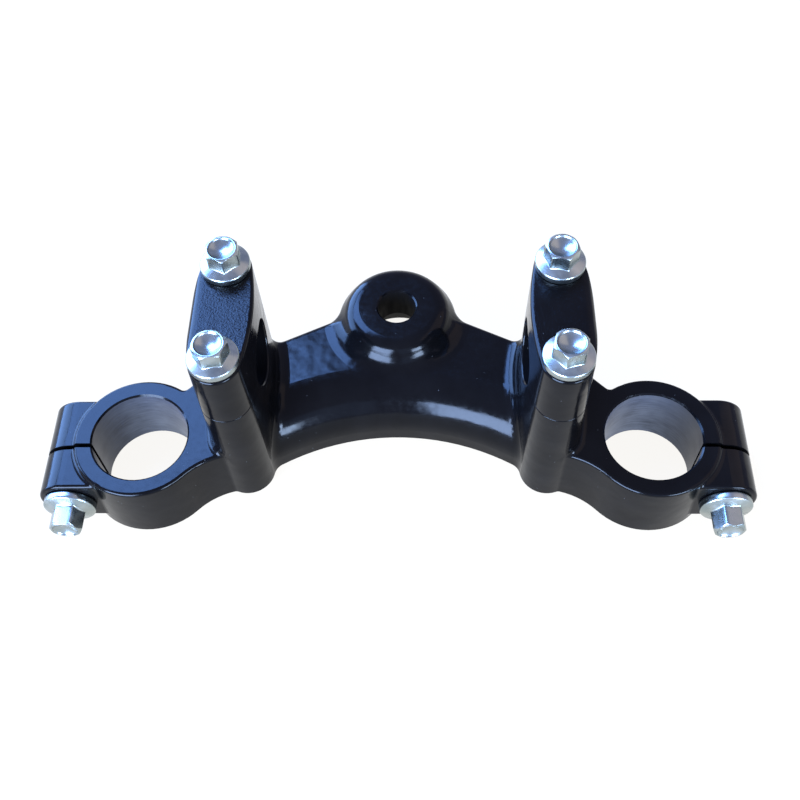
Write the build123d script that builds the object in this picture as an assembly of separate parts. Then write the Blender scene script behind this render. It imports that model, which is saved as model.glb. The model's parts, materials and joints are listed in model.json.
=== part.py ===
from build123d import *
import math
import os

# Upper fork bridge of a small motorcycle, with the handlebar risers cast on.
# Millimetres. +Z runs up along the steering stem, +X across the forks, and the front is at -Y.
# Heights are drawn up from the flat plane under the fork rings. The finished pieces are then
# lowered, so that the origin is on the stem axis where the stem meets the underside of the deck.

# Fork rings
fork_diameter = 33.0
fork_spacing = 176.0
fork_offset = 51.5
ring_height = 25.5
ring_wall = 6.2
ring_draft = 1.6
ring_edge_round = 1.2
bore_chamfer = 0.6

# Pinch lugs outboard of the rings, split by a slot
pinch_bolt_reach = 24.0
lug_radius = 10.5
lug_drop = 1.5
lug_front_depth = 15.5
lug_rear_depth = 19.0
lug_edge_round = 1.2
lug_blend = 2.0
slot_width = 1.6
slot_offset = 3.5

# Handlebar risers and caps
bar_diameter = 22.2
bar_offset = 33.0
bar_height = 49.5
riser_spacing = 107.5
riser_draft = 0.9
cap_bolt_pitch = 36.5
cap_height = 22.0
cap_end_radius = 8.3
cap_half_width = 10.2
cap_edge_round = 1.2
cap_shoulder_round = 3.6
bar_bore_round = 0.6
split_round = 0.4

# Webs from the rings to the risers
web_front_inset = 1.5
web_front_blend = 26.0
web_rear_behind_fork = 6.4
web_rear_behind_bolt = 3.9
web_rear_blend = 1.2

# Arched deck and stem boss
deck_height = 22.5
deck_wall = 5.5
deck_front_at_stem = 37.7
deck_front_at_riser = 6.2
deck_peak = 11.6
deck_front_round = 17.0
deck_rear_round = 2.0
deck_fillet = 5.0
pocket_end_wall = 6.0
pocket_draft = 2.0
pocket_round = 3.5
boss_top_diameter = 34.6
boss_height = 30.5
boss_flare = 30.0
boss_draft = 2.0
boss_shoulder_round = 8.0
stem_bore = 14.0
stem_bore_chamfer = 0.5

# Hex flange bolts
thread_diameter = 8.0
thread_clearance = 0.1
bolt_hole_clearance = 0.5
hex_across_flats = 10.0
head_top_diameter = 9.8
head_chamfer = 1.0
dish_diameter = 8.6
dish_depth = 1.6
flange_rim = 1.4
flange_rise = 2.8
cap_bolt_flange = 16.2
cap_bolt_head = 9.5
cap_bolt_length = 40.0
cap_bolt_hole_depth = 22.0
pinch_bolt_flange = 17.6
pinch_bolt_head = 11.0
pinch_bolt_length = 30.0
bolt_tip_chamfer = 1.0
cap_bolt_turns = [12.0, 20.0, 5.0, 25.0]
pinch_bolt_turns = [10.0, -14.0]

# Overrun of cutters past the faces that they cut, and the distance that counts as touching
cut_margin = 1.0
touching = 0.001

fork_x = fork_spacing / 2
fork_y = -fork_offset
ring_radius = fork_diameter / 2 + ring_wall
ring_foot_radius = ring_radius + ring_height * math.tan(math.radians(ring_draft))
web_fillet = 2 * ring_edge_round
pinch_x = fork_x + pinch_bolt_reach
slot_y = fork_y - slot_offset
lug_z = ring_height - lug_drop - lug_radius
lug_front_y = slot_y - lug_front_depth
lug_rear_y = slot_y + lug_rear_depth
riser_x = riser_spacing / 2
bar_y = -bar_offset
front_bolt_y = bar_y - cap_bolt_pitch / 2
rear_bolt_y = bar_y + cap_bolt_pitch / 2
cap_top = bar_height + cap_height
riser_spread = cap_top * math.tan(math.radians(riser_draft))
riser_foot_radius = cap_end_radius + riser_spread
bolt_hole_diameter = thread_diameter + bolt_hole_clearance
tapped_diameter = thread_diameter + thread_clearance
boss_rise = boss_height - deck_height
boss_radius_at_deck = boss_top_diameter / 2 + boss_rise * math.tan(math.radians(boss_flare))
boss_foot_radius = boss_radius_at_deck + deck_height * math.tan(math.radians(boss_draft))
boss_flank = boss_rise / math.cos(math.radians(boss_flare))
boss_bend = math.tan(math.radians(90 - boss_flare) / 2)
boss_fillet = boss_flank * 9 / 16 / boss_bend
boss_edge_round = boss_flank * 3 / 8 / boss_bend


def meeting_edges(body, first, second):
    """Edges of body that lie on the surfaces of both first and second, above the bottom plane."""

    def lies_on(edge, skin):
        points = [Vertex(*edge.position_at(share)) for share in (0.2, 0.5, 0.8)]
        return all(any(face.distance_to(p) < touching for face in skin) for p in points)

    above = [edge for edge in body.edges() if edge.center().Z > touching]
    on_first = [edge for edge in above if lies_on(edge, first.faces())]
    return [edge for edge in on_first if lies_on(edge, second.faces())]


def is_upright(edge):
    """Whether an edge runs nearer to upright than to level."""
    return abs(edge.tangent_at(0.5).Z) > math.sqrt(0.5)


def barrel_plan(end_radius, half_width):
    """Plan of a riser: round ends about its two bolts, joined by slightly bulging sides."""
    half_pitch = cap_bolt_pitch / 2
    bulge = half_width - end_radius
    centre = (half_pitch**2 - bulge**2) / (2 * bulge)
    reach = (centre + half_width) / (centre + bulge)
    x = centre * (reach - 1)
    y = half_pitch * reach
    end = half_pitch + end_radius
    right = ThreePointArc((x, -y), (half_width, 0), (x, y))
    rear = ThreePointArc((x, y), (0, end), (-x, y))
    left = ThreePointArc((-x, y), (-half_width, 0), (-x, -y))
    front = ThreePointArc((-x, -y), (0, -end), (x, -y))
    return make_face(Wire([right, rear, left, front]))


def riser_tower():
    """The right riser with its cap still on, drafted from the bottom plane and bored for the bar."""
    foot = barrel_plan(riser_foot_radius, cap_half_width + riser_spread)
    tower = Pos(riser_x, bar_y, 0) * extrude(foot, cap_top, taper=riser_draft)
    bore = Pos(riser_x, bar_y, bar_height) * Rot(0, 90, 0) * Cylinder(bar_diameter / 2, 4 * cap_half_width)
    bored = tower - bore
    return fillet(meeting_edges(bored, tower, bore), bar_bore_round)


def above_split():
    """Everything of the right riser that belongs to its cap."""
    size = cap_bolt_pitch + 4 * riser_foot_radius
    return Pos(riser_x, bar_y, bar_height + cap_height) * Box(size, size, 2 * cap_height)


def soften_split(half):
    """Rounds the edges of a riser or a cap where the two halves meet."""
    outline = [edge for edge in half.edges() if abs(edge.center().Z - bar_height) < touching]
    return fillet(outline, split_round)


def ring_and_web():
    """The right fork ring and the web that ties it to the riser, as one drafted block."""
    front = front_bolt_y - riser_foot_radius + web_front_inset
    rear_at_fork = fork_y + web_rear_behind_fork
    rear_at_riser = rear_bolt_y + web_rear_behind_bolt
    inner_x = riser_x - riser_foot_radius / 2
    web = make_face(
        Polyline(
            (inner_x, front),
            (fork_x, front),
            (fork_x, rear_at_fork),
            (riser_x, rear_at_riser),
            (inner_x, rear_at_riser),
            close=True,
        )
    )
    plan = Pos(fork_x, fork_y) * Circle(ring_foot_radius) + web
    on_ring = [v for v in plan.vertices() if v.X > riser_x + riser_foot_radius]
    front_corner, rear_corner = sorted(on_ring, key=lambda v: v.Y)
    plan = fillet(front_corner, web_front_blend)
    rear_corner = plan.vertices().sort_by_distance(rear_corner)[0]
    plan = fillet(rear_corner, web_rear_blend)
    block = extrude(plan, ring_height, taper=ring_draft)
    return fillet(block.faces().sort_by(Axis.Z)[-1].edges(), ring_edge_round)


def pinch_lug():
    """The right pinch lug: a block whose outer end is round about the pinch bolt."""
    depth = lug_rear_y - lug_front_y
    middle_y = (lug_rear_y + lug_front_y) / 2
    block = Pos(fork_x + pinch_bolt_reach / 2, middle_y, lug_z) * Box(pinch_bolt_reach, depth, 2 * lug_radius)
    end = Pos(pinch_x, middle_y, lug_z) * Rot(90, 0, 0) * Cylinder(lug_radius, depth)
    lug = block + end
    rims = lug.faces().sort_by(Axis.Y)[0].edges() + lug.faces().sort_by(Axis.Y)[-1].edges()
    outer = [edge for edge in rims if edge.center().X > fork_x + touching]
    return fillet(outer, lug_edge_round)


def deck_outline():
    """Plan of the arched deck: a hollowed front arc, and a rear edge that peaks behind the stem."""
    front_y = front_bolt_y - deck_front_at_riser
    front = ThreePointArc((-riser_x, front_y), (0, -deck_front_at_stem), (riser_x, front_y))
    sides = Polyline(
        (riser_x, front_y),
        (riser_x, rear_bolt_y),
        (0, deck_peak),
        (-riser_x, rear_bolt_y),
        (-riser_x, front_y),
    )
    return make_face(Wire([front, *sides.edges()]))


def stem_boss():
    """The boss for the stem: a drum below the deck's top, and a flared collar above it."""
    section = make_face(
        Polyline(
            (0, 0),
            (boss_foot_radius, 0),
            (boss_radius_at_deck, deck_height),
            (boss_top_diameter / 2, boss_height),
            (0, boss_height),
            close=True,
        )
    )
    shoulder = section.vertices().sort_by_distance((boss_radius_at_deck, deck_height))[0]
    section = fillet(shoulder, boss_shoulder_round)
    rim = section.vertices().sort_by_distance((boss_top_diameter / 2, boss_height))[0]
    return revolve(Plane.XZ * fillet(rim, boss_edge_round), Axis.Z)


def deck_and_boss():
    """The deck between the risers, its front edge well rounded, and the boss for the stem."""
    deck = extrude(deck_outline(), deck_height)
    arcs = deck.edges().filter_by(GeomType.CIRCLE)
    deck = fillet(arcs.sort_by(Axis.Z)[-1], deck_front_round)
    rim = deck.faces().sort_by(Axis.Z)[-1].edges()
    deck = fillet([edge for edge in rim if edge.center().Y > rear_bolt_y], deck_rear_round)
    boss = stem_boss()
    body = deck + boss
    return fillet(meeting_edges(body, deck, boss), boss_fillet)


def underside_pocket():
    """The hollow under the deck, open below, which leaves a skirt all round."""
    outline = deck_outline() + Circle(boss_foot_radius)
    reach = riser_x - cap_half_width - riser_spread - pocket_end_wall
    plan = offset(outline, -deck_wall) & Rectangle(2 * reach, 4 * fork_offset)
    plan = fillet(plan.vertices(), pocket_round)
    hollow = extrude(plan, deck_height - deck_wall, taper=pocket_draft)
    ceiling = hollow.faces().sort_by(Axis.Z)[-1].edges()
    return fillet(ceiling, pocket_round)


def flared_bore(radius, height, chamfer_size):
    """Cutter for an upright bore from the bottom plane to height, chamfered at both ends."""
    mouth = radius + chamfer_size + cut_margin
    section = Polyline(
        (0, -cut_margin),
        (mouth, -cut_margin),
        (radius, chamfer_size),
        (radius, height - chamfer_size),
        (mouth, height + cut_margin),
        (0, height + cut_margin),
        close=True,
    )
    return revolve(Plane.XZ * make_face(section), Axis.Z)


def fore_aft_hole(diameter, front, rear):
    """Cutter along Y through the right pinch lug."""
    return Pos(pinch_x, (front + rear) / 2, lug_z) * Rot(90, 0, 0) * Cylinder(diameter / 2, rear - front)


def cap_bolt_holes(diameter, bottom, top):
    """Cutters for the two upright bolts of the right riser."""
    hole = Pos(riser_x, 0, (bottom + top) / 2) * Cylinder(diameter / 2, top - bottom)
    return [Pos(0, y, 0) * hole for y in (front_bolt_y, rear_bolt_y)]


def side_cutters():
    """What is bored, slotted and drilled on the right side, after the casting is joined."""
    slot_reach = pinch_bolt_reach + lug_radius + cut_margin
    slot = Box(slot_reach, slot_width, 2 * ring_height)
    return [
        Pos(fork_x, fork_y, 0) * flared_bore(fork_diameter / 2, ring_height, bore_chamfer),
        Pos(fork_x + slot_reach / 2, slot_y, ring_height / 2) * slot,
        fore_aft_hole(bolt_hole_diameter, lug_front_y - cut_margin, slot_y),
        fore_aft_hole(tapped_diameter, slot_y, lug_rear_y + cut_margin),
        *cap_bolt_holes(tapped_diameter, bar_height - cap_bolt_hole_depth, bar_height + cut_margin),
    ]


def both_sides(shapes):
    """The shapes of the right side, and their mirror images on the left."""
    return [*shapes, *(mirror(shape, about=Plane.YZ) for shape in shapes)]


def fork_bridge():
    """The whole casting: two clamp sides joined by the deck, then bored and hollowed."""
    tower = soften_split(riser_tower() - above_split())
    block = ring_and_web()
    side = tower + block
    side = fillet(meeting_edges(side, tower, block), web_fillet)
    lug = pinch_lug()
    side += lug
    side = fillet([edge for edge in meeting_edges(side, block, lug) if is_upright(edge)], lug_blend)
    core = deck_and_boss()
    casting = core + both_sides([side])
    seams = [edge for riser in both_sides([tower]) for edge in meeting_edges(casting, riser, core)]
    casting = fillet(seams, deck_fillet)
    casting -= both_sides(side_cutters())
    casting -= underside_pocket()
    return casting - flared_bore(stem_bore / 2, boss_height, stem_bore_chamfer)


def shoulder_cutter():
    """What is taken off the outer top of the right cap to leave a broad round shoulder."""
    size = cap_shoulder_round + cut_margin
    length = cap_bolt_pitch + 4 * riser_foot_radius
    corner = Box(size, length, size, align=(Align.MIN, Align.CENTER, Align.MIN))
    corner -= Rot(90, 0, 0) * Cylinder(cap_shoulder_round, length)
    return Pos(riser_x + cap_half_width - cap_shoulder_round, bar_y, cap_top - cap_shoulder_round) * corner


def handlebar_cap():
    """The right cap: the riser's upper half, with a broad outer shoulder, drilled for its two bolts."""
    cap = soften_split(riser_tower() & above_split())
    cap = fillet(cap.faces().sort_by(Axis.Z)[-1].edges(), cap_edge_round)
    cap -= shoulder_cutter()
    return cap - cap_bolt_holes(bolt_hole_diameter, bar_height - cut_margin, cap_top + cut_margin)


def flange_bolt(flange_diameter, head_height, length):
    """Hex flange bolt standing on z = 0 with its shank below, and a dished top."""
    flange = make_face(
        Polyline(
            (0, 0),
            (flange_diameter / 2, 0),
            (flange_diameter / 2, flange_rim),
            (hex_across_flats / 2, flange_rim + flange_rise),
            (0, flange_rim + flange_rise),
            close=True,
        )
    )
    corner_radius = hex_across_flats / math.sqrt(3)
    crown = make_face(
        Polyline(
            (0, 0),
            (corner_radius, 0),
            (corner_radius, head_height - head_chamfer),
            (head_top_diameter / 2, head_height),
            (0, head_height),
            close=True,
        )
    )
    head = extrude(RegularPolygon(hex_across_flats / 2, 6, major_radius=False), head_height)
    head &= revolve(Plane.XZ * crown, Axis.Z)
    dish_radius = dish_depth / 2 + dish_diameter**2 / (8 * dish_depth)
    head -= Pos(0, 0, head_height - dish_depth + dish_radius) * Sphere(dish_radius)
    shank = Pos(0, 0, -length / 2) * Cylinder(thread_diameter / 2, length)
    shank = chamfer(shank.faces().sort_by(Axis.Z)[0].edges(), bolt_tip_chamfer)
    return head + revolve(Plane.XZ * flange, Axis.Z) + shank


def cap_bolts():
    """Four upright bolts, two to each cap."""
    bolt = flange_bolt(cap_bolt_flange, cap_bolt_head, cap_bolt_length)
    places = [(x, y) for x in (-riser_x, riser_x) for y in (front_bolt_y, rear_bolt_y)]
    return [Pos(x, y, cap_top) * Rot(0, 0, turn) * bolt for (x, y), turn in zip(places, cap_bolt_turns)]


def pinch_bolts():
    """Two bolts along Y, their heads at the front."""
    bolt = flange_bolt(pinch_bolt_flange, pinch_bolt_head, pinch_bolt_length)
    places = [-pinch_x, pinch_x]
    return [
        Pos(x, lug_front_y, lug_z) * Rot(90, 0, 0) * Rot(0, 0, turn) * bolt
        for x, turn in zip(places, pinch_bolt_turns)
    ]


stem_seat = Pos(0, 0, deck_wall - deck_height)
right_cap = handlebar_cap()
nodes = {
    "fork_bridge": [fork_bridge()],
    "left_handlebar_cap": [mirror(right_cap, about=Plane.YZ)],
    "right_handlebar_cap": [right_cap],
    "cap_bolts": cap_bolts(),
    "pinch_bolts": pinch_bolts(),
}

os.makedirs("parts", exist_ok=True)
for name, shapes in nodes.items():
    solids = [stem_seat * solid for shape in shapes for solid in shape.solids()]
    export_step(Compound(solids), f"parts/{name}.step")
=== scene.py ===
import json
import math

import bmesh
import bpy
from mathutils import Matrix, Vector


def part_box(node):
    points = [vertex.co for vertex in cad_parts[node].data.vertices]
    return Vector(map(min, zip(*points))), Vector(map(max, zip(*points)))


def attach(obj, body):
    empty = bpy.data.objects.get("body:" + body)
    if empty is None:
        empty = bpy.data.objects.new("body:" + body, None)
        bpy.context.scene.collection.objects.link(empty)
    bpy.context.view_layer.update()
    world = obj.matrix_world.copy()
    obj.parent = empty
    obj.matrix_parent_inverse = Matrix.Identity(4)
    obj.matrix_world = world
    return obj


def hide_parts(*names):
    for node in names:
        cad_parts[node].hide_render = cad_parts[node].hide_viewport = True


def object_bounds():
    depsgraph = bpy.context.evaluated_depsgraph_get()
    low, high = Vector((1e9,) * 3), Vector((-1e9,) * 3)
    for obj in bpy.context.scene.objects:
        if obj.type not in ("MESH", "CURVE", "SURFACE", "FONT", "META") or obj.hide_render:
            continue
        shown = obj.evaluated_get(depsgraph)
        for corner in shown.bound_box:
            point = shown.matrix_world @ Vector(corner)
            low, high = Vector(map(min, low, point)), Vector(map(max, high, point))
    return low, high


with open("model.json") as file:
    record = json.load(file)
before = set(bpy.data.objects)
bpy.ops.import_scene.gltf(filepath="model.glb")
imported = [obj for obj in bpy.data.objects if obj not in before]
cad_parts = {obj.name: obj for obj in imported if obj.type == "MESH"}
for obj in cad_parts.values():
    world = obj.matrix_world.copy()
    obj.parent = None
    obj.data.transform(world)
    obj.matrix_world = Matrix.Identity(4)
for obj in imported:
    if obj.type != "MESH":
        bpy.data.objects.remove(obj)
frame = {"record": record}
cad_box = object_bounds()

# Metres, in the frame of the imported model: +Z up along the stem, the front at -Y.
MM = 0.001

# Camera, as the photograph was taken: a square picture, with its width and focal length in pixels
PICTURE_WIDTH = 800
FOCAL_LENGTH = 996.9
SENSOR_WIDTH = 36.0
CAMERA_PLACE = Vector((12.0, -219.2, 305.3)) * MM
CAMERA_PITCH = math.radians(58.42)
CAMERA_YAW = math.radians(3.27)
CAMERA_ROLL = math.radians(2.92)

# Flange bolts, with arcs and turns in degrees
HEX_ACROSS_FLATS = 10.0 * MM
HEX_CORNER_ROUND = 0.4 * MM
HEAD_TOP_RADIUS = 4.9 * MM
HEAD_CROWN_DROP = 1.1
HEAD_LIP_ROUND = 0.3 * MM
DISH_RADIUS = 4.2 * MM
DISH_DEPTH = 1.6 * MM
HEAD_BEAD = (HEAD_TOP_RADIUS - DISH_RADIUS) / 2
BEAD_START = 60
BEAD_END = 160
FLANGE_RIM = 2.2 * MM
FLANGE_RISE = 2.0 * MM
FLANGE_ROUND = 0.8 * MM
FLANGE_HEX_BLEND = 0.7 * MM
SHANK_RADIUS = 4.0 * MM
SHANK_TIP_CHAMFER = 1.0 * MM
THREAD_PITCH = 1.25 * MM
THREAD_DEPTH = 0.55 * MM
# Share of the groove's depth: its root, less its flank for the way from its middle, kept from 0 to 1
THREAD_ROOT = 1.5
THREAD_FLANK = 2.2
CAP_BOLT_FLANGE = 16.2 * MM
CAP_BOLT_HEAD = 9.5 * MM
CAP_BOLT_LENGTH = 40.0 * MM
CAP_BOLT_PLAIN = 16.0 * MM
PINCH_BOLT_FLANGE = 17.6 * MM
PINCH_BOLT_HEAD = 11.0 * MM
PINCH_BOLT_LENGTH = 30.0 * MM
PINCH_BOLT_PLAIN = 11.0 * MM
CAP_BOLT_TURNS = [39.0, 7.0, 46.0, 20.0]
CAP_BOLT_TILT = 0.0
PINCH_BOLT_TURNS = [29.0, 24.0]
PINCH_BOLT_TILT = 90.0
STEPS_ROUND_BOLT = 96
STEPS_PER_THREAD = 8
STEPS_PER_FILLET = 4
STEPS_PER_BEAD = 6
STEPS_PER_DISH = 10

# Casting
BORE_TOLERANCE = 0.02 * MM
MERGE_DISTANCE = 0.001 * MM

# Finishes: patterns in features to the metre, then their depths, tones, roughness and shine
PAINT_WAVES = 95.0
PAINT_WAVE_DEPTH = 0.2 * MM
PAINT_PEEL = 620.0
PAINT_PEEL_DEPTH = 0.003 * MM
PAINT_TONES = ((0.0016, 0.0015, 0.0017), (0.0028, 0.0026, 0.0028))
PAINT_ROUGHNESS = (0.11, 0.19)
PAINT_IOR = 1.5
PAINT_SHINE = 0.135
CAST_GRAIN = 1500.0
CAP_GRAIN_DEPTH = 0.12 * MM
CASTING_GRAIN_DEPTH = 0.001 * MM
GRAIN_STARTS_UPWARD = 0.9
GRAIN_FULL_UPWARD = 0.99
DUST_SPECKS = 260.0
DUST_SPECK_CORE = 0.02
DUST_SPECK_EDGE = 0.04
DUST_COVER = 0.3
DUST_COLOUR = (0.33, 0.32, 0.3)

# Painted shade in the stem bore: a duller, darker copy of the black paint, with its runs, tones,
# roughness and shine
DULL_RUNS = 400.0
DULL_RUN_STRETCH = (1.0, 1.0, 0.3)
DULL_RUN_DEPTH = 0.02 * MM
STEM_BORE_SHADE_TONES = ((0.0012, 0.0012, 0.0015), (0.003, 0.003, 0.0035))
DULL_ROUGHNESS = (0.5, 0.7)
STEM_BORE_SHADE_SHINE = 0.05

BORE_CLOUDS = 45.0
BORE_STREAKS = 160.0
BORE_STREAK_STRETCH = (1.0, 1.0, 14.0)
BORE_STREAK_DEPTH = 0.006 * MM
BORE_RINGS = 2600.0
BORE_RING_STRETCH = (0.02, 0.02, 1.0)
BORE_RING_DEPTH = 0.008 * MM
BORE_TONES = ((0.16, 0.21, 0.33), (0.05, 0.066, 0.11))
BORE_STREAK_COVER = 0.5
BORE_STREAK_COLOUR = (0.21, 0.27, 0.41)
# Painted shade on the outer half of each fork bore: how far it covers, and its near-black colour
BORE_OUTER_SHADE_COVER = 0.85
BORE_OUTER_SHADE_COLOUR = (0.02, 0.021, 0.026)
BORE_ROUGHNESS = (0.30, 0.46)

ZINC_CLOUDS = 240.0
ZINC_DENTS = 420.0
ZINC_DENT_DEPTH = 0.02 * MM
ZINC_MARKS = 2400.0
ZINC_MARK_STRETCH = 0.12
ZINC_MARK_DEPTH = 0.0015 * MM
ZINC_TONES = ((0.27, 0.325, 0.33), (0.37, 0.395, 0.37))
ZINC_ROUGHNESS = (0.22, 0.34)

# Studio
FLOOR_SIZE = 6.0
FLOOR_GAP = 0.1 * MM
FLOOR_MOTTLE = 3.0
FLOOR_TONES = ((0.06, 0.055, 0.042), (0.064, 0.059, 0.046))
FLOOR_ROUGHNESS = 0.9
FLOOR_SHINE = 0.1
FLOOR_GLOW = 0.93
FLOOR_GLOW_COLOUR = (1.0, 0.985, 0.955)
WORLD_COLOUR = (0.43, 0.45, 0.68)

# Softboxes that face the origin: place, width, depth, colour and radiance
SOFTBOXES = {
    "blue_sky_left": ((-0.81, 0.90, 1.5), 1.1, 0.9, (0.18, 0.39, 1.0), 27.0),
    "blue_sky_low": ((-1.77, 1.11, 0.68), 3.0, 1.4, (0.22, 0.44, 1.0), 20.0),
    "front_left": ((-0.74, -1.23, 0.44), 1.0, 0.8, (0.42, 0.6, 1.0), 46.0),
    "front_middle": ((0.45, -1.4, 0.55), 0.7, 0.9, (0.35, 0.55, 1.0), 0.9),
    "front_right": ((0.9, -1.15, 0.34), 0.6, 0.4, (0.5, 0.68, 1.0), 46.0),
    "warm_wall_right": ((1.35, 0.2, 1.2), 1.6, 1.4, (1.0, 0.74, 0.52), 0.6),
}

mounts = {mount["name"]: mount for mount in frame["record"]["mounts"]}


# Node materials


def new_material(name):
    """A node material, its Principled shader, and helpers that add nodes and link them to the shader."""
    material = bpy.data.materials.new(name)
    material.use_nodes = True
    tree = material.node_tree
    shader = tree.nodes["Principled BSDF"]

    def add(kind, inputs=None, **settings):
        node = tree.nodes.new(kind)
        for key, value in settings.items():
            setattr(node, key, value)
        for key, value in (inputs or {}).items():
            socket = node.inputs[key]
            if isinstance(value, bpy.types.NodeSocket):
                tree.links.new(value, socket)
            else:
                socket.default_value = value
        return node

    def link(source, socket_name):
        tree.links.new(source, shader.inputs[socket_name])

    return material, shader, add, link


def place(add, scale=(1.0, 1.0, 1.0)):
    """Object coordinates, stretched by scale."""
    coordinates = add("ShaderNodeTexCoord").outputs["Object"]
    return add("ShaderNodeMapping", {"Vector": coordinates, "Scale": scale}).outputs["Vector"]


def noise(add, vector, scale, detail=3.0, roughness=0.5):
    """Noise of a given number of features to the metre, from 0 to 1."""
    inputs = {"Vector": vector, "Scale": scale, "Detail": detail, "Roughness": roughness}
    return add("ShaderNodeTexNoise", inputs).outputs["Fac"]


def spread(add, value, low, high, from_low=0.3, from_high=0.7):
    """Maps a range of values, the middle of a noise's range unless told otherwise, to low and high."""
    inputs = {"Value": value, "From Min": from_low, "From Max": from_high, "To Min": low, "To Max": high}
    return add("ShaderNodeMapRange", inputs).outputs["Result"]


def blend_colours(add, factor, first, second):
    """Mixes two colours or colour sockets by a factor socket."""
    node = add("ShaderNodeMix", data_type="RGBA")
    links = node.id_data.links
    links.new(factor, node.inputs["Factor"])
    # The Mix node lists the sockets for numbers and vectors first, under the same names.
    for socket, colour in zip((node.inputs[6], node.inputs[7]), (first, second)):
        if isinstance(colour, bpy.types.NodeSocket):
            links.new(colour, socket)
        else:
            socket.default_value = (*colour, 1.0)
    return node.outputs[2]


def two_tones(add, pattern, tones):
    """A colour that wanders between two tones with a noise."""
    return blend_colours(add, spread(add, pattern, 0.0, 1.0), *tones)


def relief(add, height, depth, under=None):
    """A bump of a real depth in metres, laid over another bump."""
    inputs = {"Height": height, "Strength": 1.0, "Distance": depth}
    if under is not None:
        inputs["Normal"] = under
    return add("ShaderNodeBump", inputs).outputs["Normal"]


def gloss_black_paint(name, grain_depth):
    """Thick gloss black paint: slow waves, orange peel, cast grain on what faces up, a little dust."""
    material, shader, add, link = new_material(name)
    here = place(add)
    waves = noise(add, here, PAINT_WAVES, detail=2.0)
    peel = noise(add, here, PAINT_PEEL, detail=2.0)
    grain = noise(add, here, CAST_GRAIN, detail=2.0, roughness=0.6)
    cells = {"Vector": here, "Scale": DUST_SPECKS}
    speck = add("ShaderNodeTexVoronoi", cells, feature="F1").outputs["Distance"]
    dust = spread(add, speck, DUST_COVER, 0.0, DUST_SPECK_CORE, DUST_SPECK_EDGE)
    link(blend_colours(add, dust, two_tones(add, waves, PAINT_TONES), DUST_COLOUR), "Base Color")
    link(spread(add, peel, *PAINT_ROUGHNESS), "Roughness")
    facing = add("ShaderNodeNewGeometry").outputs["Normal"]
    upward = add("ShaderNodeSeparateXYZ", {"Vector": facing}).outputs["Z"]
    on_top = spread(add, upward, 0.0, 1.0, GRAIN_STARTS_UPWARD, GRAIN_FULL_UPWARD)
    as_cast = add("ShaderNodeMath", {0: grain, 1: on_top}, operation="MULTIPLY").outputs["Value"]
    normal = relief(add, waves, PAINT_WAVE_DEPTH)
    normal = relief(add, peel, PAINT_PEEL_DEPTH, normal)
    link(relief(add, as_cast, grain_depth, normal), "Normal")
    shader.inputs["IOR"].default_value = PAINT_IOR
    shader.inputs["Specular IOR Level"].default_value = PAINT_SHINE
    return material


def shaded_stem_bore_paint():
    """Dull black paint with a low shine: painted shade, a darker copy of the black paint for the inside
    of the stem bore.
    """
    material, shader, add, link = new_material("shaded_stem_bore_paint")
    runs = noise(add, place(add, DULL_RUN_STRETCH), DULL_RUNS)
    link(two_tones(add, runs, STEM_BORE_SHADE_TONES), "Base Color")
    link(spread(add, runs, *DULL_ROUGHNESS), "Roughness")
    link(relief(add, runs, DULL_RUN_DEPTH), "Normal")
    shader.inputs["Specular IOR Level"].default_value = STEM_BORE_SHADE_SHINE
    return material


def machined_aluminium():
    """Bare bored aluminium: feed rings, streaks, cloudy dull patches, and painted shade that darkens each
    bore towards its outer, slot side.
    """
    material, shader, add, link = new_material("machined_aluminium")
    here = place(add)
    clouds = noise(add, here, BORE_CLOUDS, detail=4.0, roughness=0.6)
    streaks = noise(add, place(add, BORE_STREAK_STRETCH), BORE_STREAKS)
    rings = noise(add, place(add, BORE_RING_STRETCH), BORE_RINGS, detail=1.0)
    streaked = spread(add, streaks, 0.0, BORE_STREAK_COVER)
    metal = blend_colours(add, streaked, two_tones(add, clouds, BORE_TONES), BORE_STREAK_COLOUR)
    fork = mounts["right_fork_clamp"]
    fork_axis = fork["pos_m"][0]
    slot_side = fork_axis + fork["dims"]["r_mm"] * MM
    # Painted shade: the outer half of each bore, towards the slot, is blended to a near-black tone.
    sideways = add("ShaderNodeSeparateXYZ", {"Vector": here}).outputs["X"]
    outward = add("ShaderNodeMath", {0: sideways}, operation="ABSOLUTE").outputs["Value"]
    outer_shade = spread(add, outward, 0.0, BORE_OUTER_SHADE_COVER, fork_axis, slot_side)
    link(blend_colours(add, outer_shade, metal, BORE_OUTER_SHADE_COLOUR), "Base Color")
    link(spread(add, clouds, *BORE_ROUGHNESS), "Roughness")
    link(relief(add, streaks, BORE_STREAK_DEPTH, relief(add, rings, BORE_RING_DEPTH)), "Normal")
    shader.inputs["Metallic"].default_value = 1.0
    return material


def bright_zinc(name, stretch):
    """Bright bluish zinc plating, a little wavy, with drawing marks along the bolt."""
    material, shader, add, link = new_material(name)
    here = place(add)
    clouds = noise(add, here, ZINC_CLOUDS)
    dents = noise(add, here, ZINC_DENTS, detail=2.0)
    marks = noise(add, place(add, stretch), ZINC_MARKS, detail=2.0)
    link(two_tones(add, clouds, ZINC_TONES), "Base Color")
    link(spread(add, clouds, *ZINC_ROUGHNESS), "Roughness")
    link(relief(add, marks, ZINC_MARK_DEPTH, relief(add, dents, ZINC_DENT_DEPTH)), "Normal")
    shader.inputs["Metallic"].default_value = 1.0
    return material


def pale_floor():
    """A matt floor that glows evenly, as the top of a light table does, so that it looks white."""
    material, shader, add, link = new_material("pale_floor")
    mottle = noise(add, place(add), FLOOR_MOTTLE)
    link(blend_colours(add, mottle, *FLOOR_TONES), "Base Color")
    shader.inputs["Roughness"].default_value = FLOOR_ROUGHNESS
    shader.inputs["Specular IOR Level"].default_value = FLOOR_SHINE
    shader.inputs["Emission Color"].default_value = (*FLOOR_GLOW_COLOUR, 1.0)
    shader.inputs["Emission Strength"].default_value = FLOOR_GLOW
    return material


# Pieces


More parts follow.
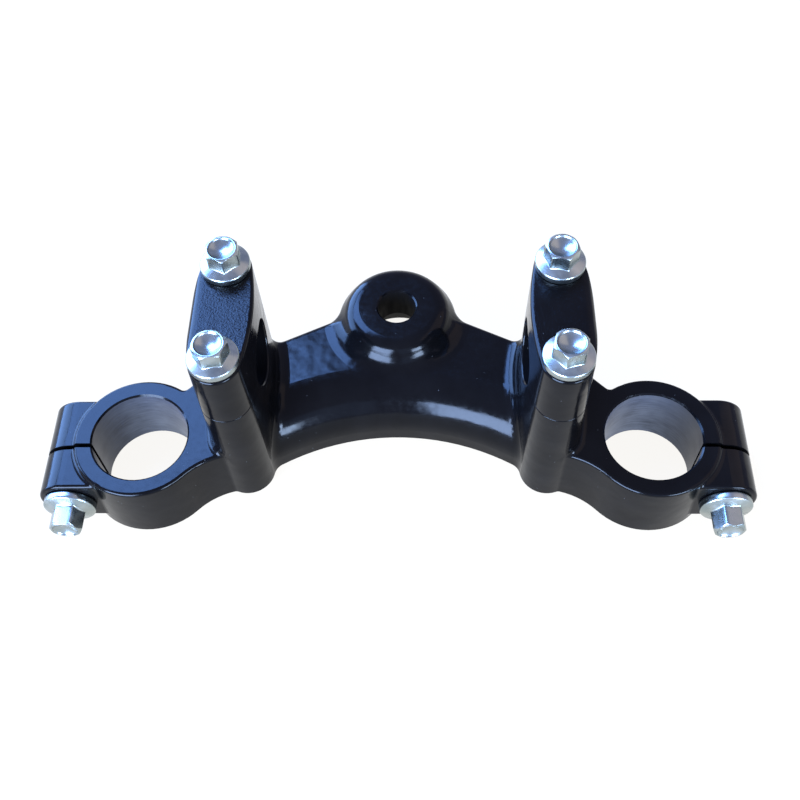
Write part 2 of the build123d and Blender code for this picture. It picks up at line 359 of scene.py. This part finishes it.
def merged_copy(node, name):
    """A copy of a CAD node's mesh with its loose triangles joined and its own smooth normals kept."""
    source = bpy.data.objects[node].data
    shape = bmesh.new()
    shape.from_mesh(source)
    number = shape.faces.layers.int.new("number")
    for face in shape.faces:
        face[number] = face.index
    bmesh.ops.remove_doubles(shape, verts=shape.verts, dist=MERGE_DISTANCE)
    kept = [face[number] for face in shape.faces]
    shape.faces.layers.int.remove(number)
    mesh = bpy.data.meshes.new(name)
    shape.to_mesh(mesh)
    shape.free()
    corners = [source.polygons[index].loop_indices for index in kept]
    normals = [source.corner_normals[corner].vector for loops in corners for corner in loops]
    mesh.normals_split_custom_set(normals)
    mesh.materials.clear()
    piece = bpy.data.objects.new(name, mesh)
    bpy.context.scene.collection.objects.link(piece)
    return piece


def casting(paint, bare_metal, stem_bore_shade_paint):
    """The fork bridge: gloss paint, bare metal in the two fork bores, and a duller, darker paint in the
    stem bore as painted shade.
    """
    piece = merged_copy("fork_bridge", "casting")
    finishes = [paint, bare_metal, stem_bore_shade_paint]
    for finish in finishes:
        piece.data.materials.append(finish)
    corners = piece.data.vertices
    for name, finish in (
        ("left_fork_clamp", bare_metal),
        ("right_fork_clamp", bare_metal),
        # Painted shade: the stem bore gets the darker, duller paint.
        ("stem_bore", stem_bore_shade_paint),
    ):
        axis = Vector(mounts[name]["pos_m"]).to_2d()
        limit = mounts[name]["dims"]["r_mm"] * MM + BORE_TOLERANCE
        inside = {corner.index for corner in corners if (corner.co.to_2d() - axis).length < limit}
        for polygon in piece.data.polygons:
            if inside.issuperset(polygon.vertices):
                polygon.material_index = finishes.index(finish)
    return piece


def hex_radius(angle):
    """Distance from the axis to a hexagon with rounded corners, in a given direction."""
    sector = math.pi / 3
    turn = (angle + sector / 2) % sector - sector / 2
    flat = HEX_ACROSS_FLATS / 2
    corner = flat / math.cos(sector / 2)
    from_corner = sector / 2 - abs(turn)
    core = corner - HEX_CORNER_ROUND / math.cos(sector / 2)
    across = core * math.sin(from_corner)
    rounded = core * math.cos(from_corner) + math.sqrt(max(HEX_CORNER_ROUND**2 - across**2, 0.0))
    edge = flat / math.cos(turn)
    return min(edge, rounded) if across < HEX_CORNER_ROUND else edge


def arc(centre, radius, start, end, steps):
    """Points of an arc in the plane of radius and height, from a start to an end angle in degrees."""
    turns = [math.radians(start + (end - start) * step / steps) for step in range(steps + 1)]
    return [(centre[0] + radius * math.cos(t), centre[1] + radius * math.sin(t)) for t in turns]


def head_profile(angle, flange_radius, height):
    """Radius and height from the underside of the flange over the head to the middle of its dish."""
    side = hex_radius(angle)
    slope = math.atan2(FLANGE_RISE, flange_radius - HEX_ACROSS_FLATS / 2)
    lean = math.degrees(math.pi / 2 - slope)
    rim = flange_radius - FLANGE_ROUND
    points = [(rim, 0.0)]
    points += arc((rim, FLANGE_ROUND), FLANGE_ROUND, -90, 0, STEPS_PER_FILLET)[1:]
    points += arc((rim, FLANGE_RIM), FLANGE_ROUND, 0, lean, STEPS_PER_FILLET)
    foot = FLANGE_RIM + (flange_radius - side) * math.tan(slope)
    blend = FLANGE_HEX_BLEND
    blend_height = foot + blend * (1 / math.cos(slope) - math.tan(slope))
    points += arc((side + blend, blend_height), blend, 180 + lean, 180, STEPS_PER_FILLET)
    shoulder = height - (side - HEAD_TOP_RADIUS) * HEAD_CROWN_DROP
    lip = min(HEAD_LIP_ROUND, (side - HEAD_TOP_RADIUS) / 2)
    lip_height = shoulder - lip * (math.hypot(1, HEAD_CROWN_DROP) - HEAD_CROWN_DROP)
    crown_lean = math.degrees(math.atan2(1, HEAD_CROWN_DROP))
    points += arc((side - lip, lip_height), lip, 0, crown_lean, STEPS_PER_FILLET)
    bead_centre = (HEAD_TOP_RADIUS - HEAD_BEAD, height - HEAD_BEAD)
    points += arc(bead_centre, HEAD_BEAD, BEAD_START, BEAD_END, STEPS_PER_BEAD)
    for step in range(STEPS_PER_DISH):
        across = DISH_RADIUS * (1 - step / STEPS_PER_DISH)
        points.append((across, height - HEAD_BEAD - DISH_DEPTH * (1 - (across / DISH_RADIUS) ** 2)))
    return points


def thread_profile(angle, length, plain):
    """Radius and height down the shank: a plain neck, then a thread that winds with the angle."""
    points = [(SHANK_RADIUS, 0.0)]
    turns = math.ceil((length - plain) / THREAD_PITCH)
    steps = turns * STEPS_PER_THREAD
    for step in range(steps + 1):
        down = plain + (length - plain) * step / steps
        phase = (down / THREAD_PITCH + angle / (2 * math.pi)) % 1.0
        groove = THREAD_DEPTH * min(1.0, max(0.0, THREAD_ROOT - abs(2 * phase - 1) * THREAD_FLANK))
        fade_in = min(1.0, (down - plain) / THREAD_PITCH)
        tip = min(0.0, (length - down) - SHANK_TIP_CHAMFER)
        points.append((min(SHANK_RADIUS - groove * fade_in, SHANK_RADIUS + tip), -down))
    return points


def bolt_blank(name, flange_diameter, height, length, plain):
    """One flange bolt standing on z = 0, made of rings whose radius changes with the angle."""
    shape = bmesh.new()
    columns = []
    for step in range(STEPS_ROUND_BOLT):
        angle = 2 * math.pi * step / STEPS_ROUND_BOLT
        shank = thread_profile(angle, length, plain)[::-1]
        outline = shank + head_profile(angle, flange_diameter / 2, height)
        x, y = math.cos(angle), math.sin(angle)
        columns.append([shape.verts.new((r * x, r * y, z)) for r, z in outline])
    top = shape.verts.new((0, 0, height - DISH_DEPTH - HEAD_BEAD))
    tip = shape.verts.new((0, 0, -length))
    for column, following in zip(columns, columns[1:] + columns[:1]):
        for low in range(len(column) - 1):
            shape.faces.new((column[low], following[low], following[low + 1], column[low + 1]))
        shape.faces.new((column[-1], following[-1], top))
        shape.faces.new((following[0], column[0], tip))
    for face in shape.faces:
        face.smooth = True
    bmesh.ops.recalc_face_normals(shape, faces=shape.faces)
    mesh = bpy.data.meshes.new(name)
    shape.to_mesh(mesh)
    shape.free()
    return bpy.data.objects.new(name, mesh)


def seating_tree(name):
    """Geometry Nodes: a bolt on every seat point, tilted with the rest and turned by its own angle."""
    tree = bpy.data.node_groups.new(name, "GeometryNodeTree")
    for label, direction, kind in (
        ("Seats", "INPUT", "NodeSocketGeometry"),
        ("Bolt", "INPUT", "NodeSocketObject"),
        ("Tilt", "INPUT", "NodeSocketFloat"),
        ("Plating", "INPUT", "NodeSocketMaterial"),
        ("Bolts", "OUTPUT", "NodeSocketGeometry"),
    ):
        tree.interface.new_socket(label, in_out=direction, socket_type=kind)
    add = tree.nodes.new
    link = tree.links.new
    given = add("NodeGroupInput")
    result = add("NodeGroupOutput")
    bolt = add("GeometryNodeObjectInfo")
    turn = add("GeometryNodeInputNamedAttribute")
    turn.data_type = "FLOAT"
    turn.inputs["Name"].default_value = "turn"
    about_axis = add("ShaderNodeCombineXYZ")
    lean = add("ShaderNodeCombineXYZ")
    spin = add("FunctionNodeEulerToRotation")
    tilt = add("FunctionNodeEulerToRotation")
    both = add("FunctionNodeRotateRotation")
    both.rotation_space = "LOCAL"
    points = add("GeometryNodeMeshToPoints")
    seat = add("GeometryNodeInstanceOnPoints")
    realize = add("GeometryNodeRealizeInstances")
    plate = add("GeometryNodeSetMaterial")
    link(given.outputs["Bolt"], bolt.inputs["Object"])
    link(turn.outputs["Attribute"], about_axis.inputs["Z"])
    link(given.outputs["Tilt"], lean.inputs["X"])
    link(about_axis.outputs[0], spin.inputs[0])
    link(lean.outputs[0], tilt.inputs[0])
    link(tilt.outputs[0], both.inputs["Rotation"])
    link(spin.outputs[0], both.inputs["Rotate By"])
    link(given.outputs["Seats"], points.inputs["Mesh"])
    link(points.outputs["Points"], seat.inputs["Points"])
    link(bolt.outputs["Geometry"], seat.inputs["Instance"])
    link(both.outputs[0], seat.inputs["Rotation"])
    link(seat.outputs["Instances"], realize.inputs["Geometry"])
    link(realize.outputs["Geometry"], plate.inputs["Geometry"])
    link(given.outputs["Plating"], plate.inputs["Material"])
    link(plate.outputs["Geometry"], result.inputs["Bolts"])
    return tree


def seated_bolts(name, tree, blank, seats, turns, tilt, plating):
    """A plain mesh of bolts on the given seats."""
    points = bpy.data.meshes.new(name + "_seats")
    points.from_pydata(seats, [], [])
    angles = points.attributes.new("turn", "FLOAT", "POINT")
    angles.data.foreach_set("value", [math.radians(turn) for turn in turns])
    holder = bpy.data.objects.new(name + "_seats", points)
    bpy.context.scene.collection.objects.link(holder)
    modifier = holder.modifiers.new("seating", "NODES")
    modifier.node_group = tree
    values = {"Bolt": blank, "Tilt": math.radians(tilt), "Plating": plating}
    for item in tree.interface.items_tree:
        if item.name in values:
            modifier[item.identifier] = values[item.name]
    graph = bpy.context.evaluated_depsgraph_get()
    mesh = bpy.data.meshes.new_from_object(holder.evaluated_get(graph))
    mesh.name = name
    bpy.data.objects.remove(holder)
    bpy.data.objects.remove(blank)
    piece = bpy.data.objects.new(name, mesh)
    bpy.context.scene.collection.objects.link(piece)
    return piece


def cap_bolt_seats():
    """Where the four upright bolts stand, from the corners of their CAD node."""
    low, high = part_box("cap_bolts")
    inset = CAP_BOLT_FLANGE / 2
    across = (low.x + inset, high.x - inset)
    along = (low.y + inset, high.y - inset)
    return [(x, y, high.z - CAP_BOLT_HEAD) for x in across for y in along]


def pinch_bolt_seats():
    """Where the two level bolts are seated, from the corners of their CAD node."""
    low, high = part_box("pinch_bolts")
    inset = PINCH_BOLT_FLANGE / 2
    return [(x, low.y + PINCH_BOLT_HEAD, (low.z + high.z) / 2) for x in (low.x + inset, high.x - inset)]


# Studio


def softbox(name, place_at, width, depth, colour, radiance):
    """A rectangular light of a given brightness that faces the origin."""
    light = bpy.data.lights.new(name, "AREA")
    light.shape = "RECTANGLE"
    light.size = width
    light.size_y = depth
    light.color = colour
    light.energy = radiance * math.pi * width * depth
    lamp = bpy.data.objects.new(name, light)
    towards_origin = -Vector(place_at)
    turn = towards_origin.to_track_quat("-Z", "Y").to_matrix().to_4x4()
    lamp.matrix_world = Matrix.Translation(place_at) @ turn
    bpy.context.scene.collection.objects.link(lamp)


def studio(floor_height):
    """A pale floor, a dim room and the lights that the paint mirrors."""
    bpy.ops.mesh.primitive_plane_add(size=FLOOR_SIZE, location=(0, 0, floor_height - FLOOR_GAP))
    floor = bpy.context.object
    floor.name = "floor"
    floor.data.materials.append(pale_floor())
    world = bpy.data.worlds.new("dim_room")
    world.use_nodes = True
    world.node_tree.nodes["Background"].inputs["Color"].default_value = (*WORLD_COLOUR, 1.0)
    bpy.context.scene.world = world
    bpy.context.scene.view_settings.view_transform = "Standard"
    for name, settings in SOFTBOXES.items():
        softbox(name, *settings)


def photograph_camera():
    """The camera where the photograph was taken from."""
    data = bpy.data.cameras.new("photograph")
    data.sensor_width = SENSOR_WIDTH
    data.lens = FOCAL_LENGTH / PICTURE_WIDTH * SENSOR_WIDTH
    camera = bpy.data.objects.new("photograph", data)
    turn = (
        Matrix.Rotation(CAMERA_YAW, 4, "Z")
        @ Matrix.Rotation(math.pi / 2 - CAMERA_PITCH, 4, "X")
        @ Matrix.Rotation(-CAMERA_ROLL, 4, "Z")
    )
    camera.matrix_world = Matrix.Translation(CAMERA_PLACE) @ turn
    bpy.context.scene.collection.objects.link(camera)
    bpy.context.scene.camera = camera


gloss = gloss_black_paint("gloss_black_paint", CASTING_GRAIN_DEPTH)
bridge = casting(gloss, machined_aluminium(), shaded_stem_bore_paint())
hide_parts("fork_bridge")
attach(bridge, "root")

cap_paint = gloss_black_paint("gloss_black_cap_paint", CAP_GRAIN_DEPTH)
for cap in ("left_handlebar_cap", "right_handlebar_cap"):
    bpy.data.objects[cap].material_slots[0].material = cap_paint

tree = seating_tree("bolt_seating")
bolt_sets = (
    (
        "cap_bolts",
        bolt_blank("cap_bolt", CAP_BOLT_FLANGE, CAP_BOLT_HEAD, CAP_BOLT_LENGTH, CAP_BOLT_PLAIN),
        cap_bolt_seats(),
        CAP_BOLT_TURNS,
        CAP_BOLT_TILT,
        bright_zinc("bright_zinc_upright", (1.0, 1.0, ZINC_MARK_STRETCH)),
    ),
    (
        "pinch_bolts",
        bolt_blank("pinch_bolt", PINCH_BOLT_FLANGE, PINCH_BOLT_HEAD, PINCH_BOLT_LENGTH, PINCH_BOLT_PLAIN),
        pinch_bolt_seats(),
        PINCH_BOLT_TURNS,
        PINCH_BOLT_TILT,
        bright_zinc("bright_zinc_level", (1.0, ZINC_MARK_STRETCH, 1.0)),
    ),
)
for node, blank, seats, turns, tilt, plating in bolt_sets:
    bolts = seated_bolts(node + "_threaded", tree, blank, seats, turns, tilt, plating)
    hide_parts(node)
    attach(bolts, "root")

studio(cad_box[0].z)
photograph_camera()
